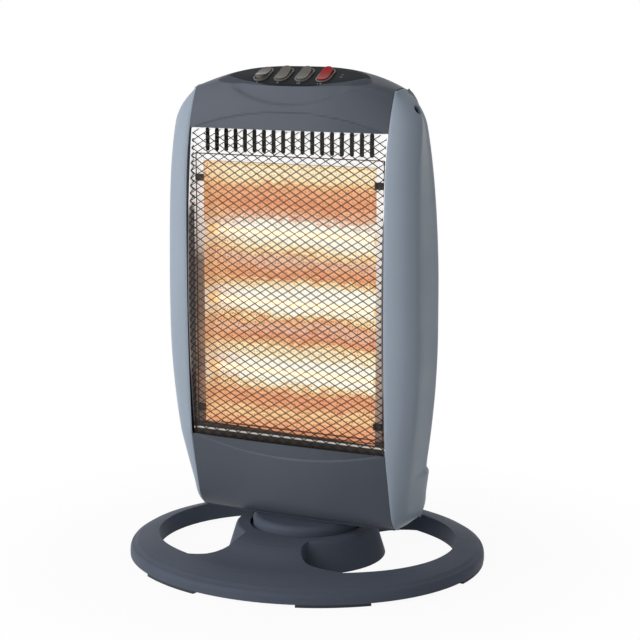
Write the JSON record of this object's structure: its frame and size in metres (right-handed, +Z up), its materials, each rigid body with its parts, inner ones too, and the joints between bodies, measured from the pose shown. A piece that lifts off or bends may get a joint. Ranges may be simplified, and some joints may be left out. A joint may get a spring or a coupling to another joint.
{
  "type": "halogen heater",
  "caption": "Upright halogen heater with mesh guard, quartz tubes and rocker switches, its head swivelling on an open oval base.",
  "frame": {"origin": "on the floor under the middle of the base, on the swivel axis", "axes": "+Z up, the lit front faces -Y, +X to the right of someone facing the front"},
  "size_m": [0.3826, 0.351, 0.5209],
  "materials": {
    "base_moulding": "fine texture",
    "foot_plastic": "as moulded",
    "post_steel": "turned",
    "slip_plastic": "natural acetal",
    "switch_black": "as moulded",
    "plunger_red": "as moulded",
    "zinc_steel": "zinc plated",
    "reflector_metal": "polished",
    "quartz": "clear",
    "filament_wire": "glowing",
    "ceramic": "bare",
    "spring_brass": "bare",
    "guard_black": "satin black",
    "strip_plastic": "satin",
    "panel_plastic": "satin",
    "bezel_plastic": "silver grey",
    "rocker_grey": "satin",
    "rocker_red": "satin",
    "side_plastic": "satin",
    "motor_case": "plated",
    "nickel_part": "plated"
  },
  "bodies": {
    "base": {"base_shell": "base_moulding", "foot_pads": "foot_plastic", "base_plate": "base_moulding", "base_screws": "zinc_steel", "swivel_post": "post_steel", "bearing_ring": "slip_plastic", "retainer_ring": "zinc_steel", "swivel_fork": "slip_plastic", "tip_switch": "switch_black"},
    "plunger": {"tip_plunger": "plunger_red"},
    "head": {"turntable": "base_moulding", "head_floor": "zinc_steel", "turntable_screws": "zinc_steel", "chassis": "zinc_steel", "front_plate": "zinc_steel", "reflector": "reflector_metal", "reflector_end_left": "reflector_metal", "reflector_end_right": "reflector_metal", "heat_shield": "zinc_steel", "tube_lower": "quartz", "tube_middle": "quartz", "tube_upper": "quartz", "filament_lower": "filament_wire", "filament_middle": "filament_wire", "filament_upper": "filament_wire", "tube_caps": "ceramic", "tube_clips": "spring_brass", "guard": "guard_black", "guard_clips": "guard_black", "hood": "strip_plastic", "control_panel": "panel_plastic", "chin": "strip_plastic", "side_shell_left": "side_plastic", "side_shell_right": "side_plastic", "rear_cover": "side_plastic", "rear_screws": "zinc_steel", "motor_bracket": "zinc_steel", "oscillation_motor": "motor_case", "thermal_cutout": "nickel_part", "terminal_block": "ceramic", "cord_gland": "switch_black", "switch_bezel_1": "bezel_plastic", "switch_body_1": "switch_black", "switch_bezel_2": "bezel_plastic", "switch_body_2": "switch_black", "switch_bezel_3": "bezel_plastic", "switch_body_3": "switch_black", "switch_bezel_4": "bezel_plastic", "switch_body_4": "switch_black"},
    "crank": {"crank": "slip_plastic"},
    "rocker_1": {"switch_rocker_1": "rocker_grey"},
    "rocker_2": {"switch_rocker_2": "rocker_grey"},
    "rocker_3": {"switch_rocker_3": "rocker_grey"},
    "rocker_4": {"switch_rocker_4": "rocker_red"}
  },
  "joints": [
    {"name": "head_swivel", "type": "hinge", "parent": "base", "child": "head", "pos_m": [0, 0, 0.04], "axis": [0, 0, 1], "range_deg": [-25, 35]},
    {"name": "crank_turn", "type": "hinge", "parent": "head", "child": "crank", "pos_m": [0.024, 0, 0.062], "axis": [0, 0, 1], "range_deg": [-105, 75.5]},
    {"name": "tip_press", "type": "slide", "parent": "base", "child": "plunger", "axis": [0, 0, -1], "range_m": [0, 0.004], "stiffness_N_per_m": 40, "springref_m": 0.004},
    {"name": "rocker_1_tip", "type": "hinge", "parent": "head", "child": "rocker_1", "pos_m": [-0.03845, -0.0198, 0.50839], "axis": [1, 0, 0], "range_deg": [0, 14]},
    {"name": "rocker_2_tip", "type": "hinge", "parent": "head", "child": "rocker_2", "pos_m": [-0.01475, -0.0198, 0.50839], "axis": [1, 0, 0], "range_deg": [-14, 0]},
    {"name": "rocker_3_tip", "type": "hinge", "parent": "head", "child": "rocker_3", "pos_m": [0.00895, -0.0198, 0.50839], "axis": [1, 0, 0], "range_deg": [-14, 0]},
    {"name": "rocker_4_tip", "type": "hinge", "parent": "head", "child": "rocker_4", "pos_m": [0.03265, -0.0198, 0.50839], "axis": [1, 0, 0], "range_deg": [-14, 0]}
  ],
  "couplings": [
    {"joint": "crank_turn", "follows": "head_swivel", "ratio": -2.9746}
  ]
}
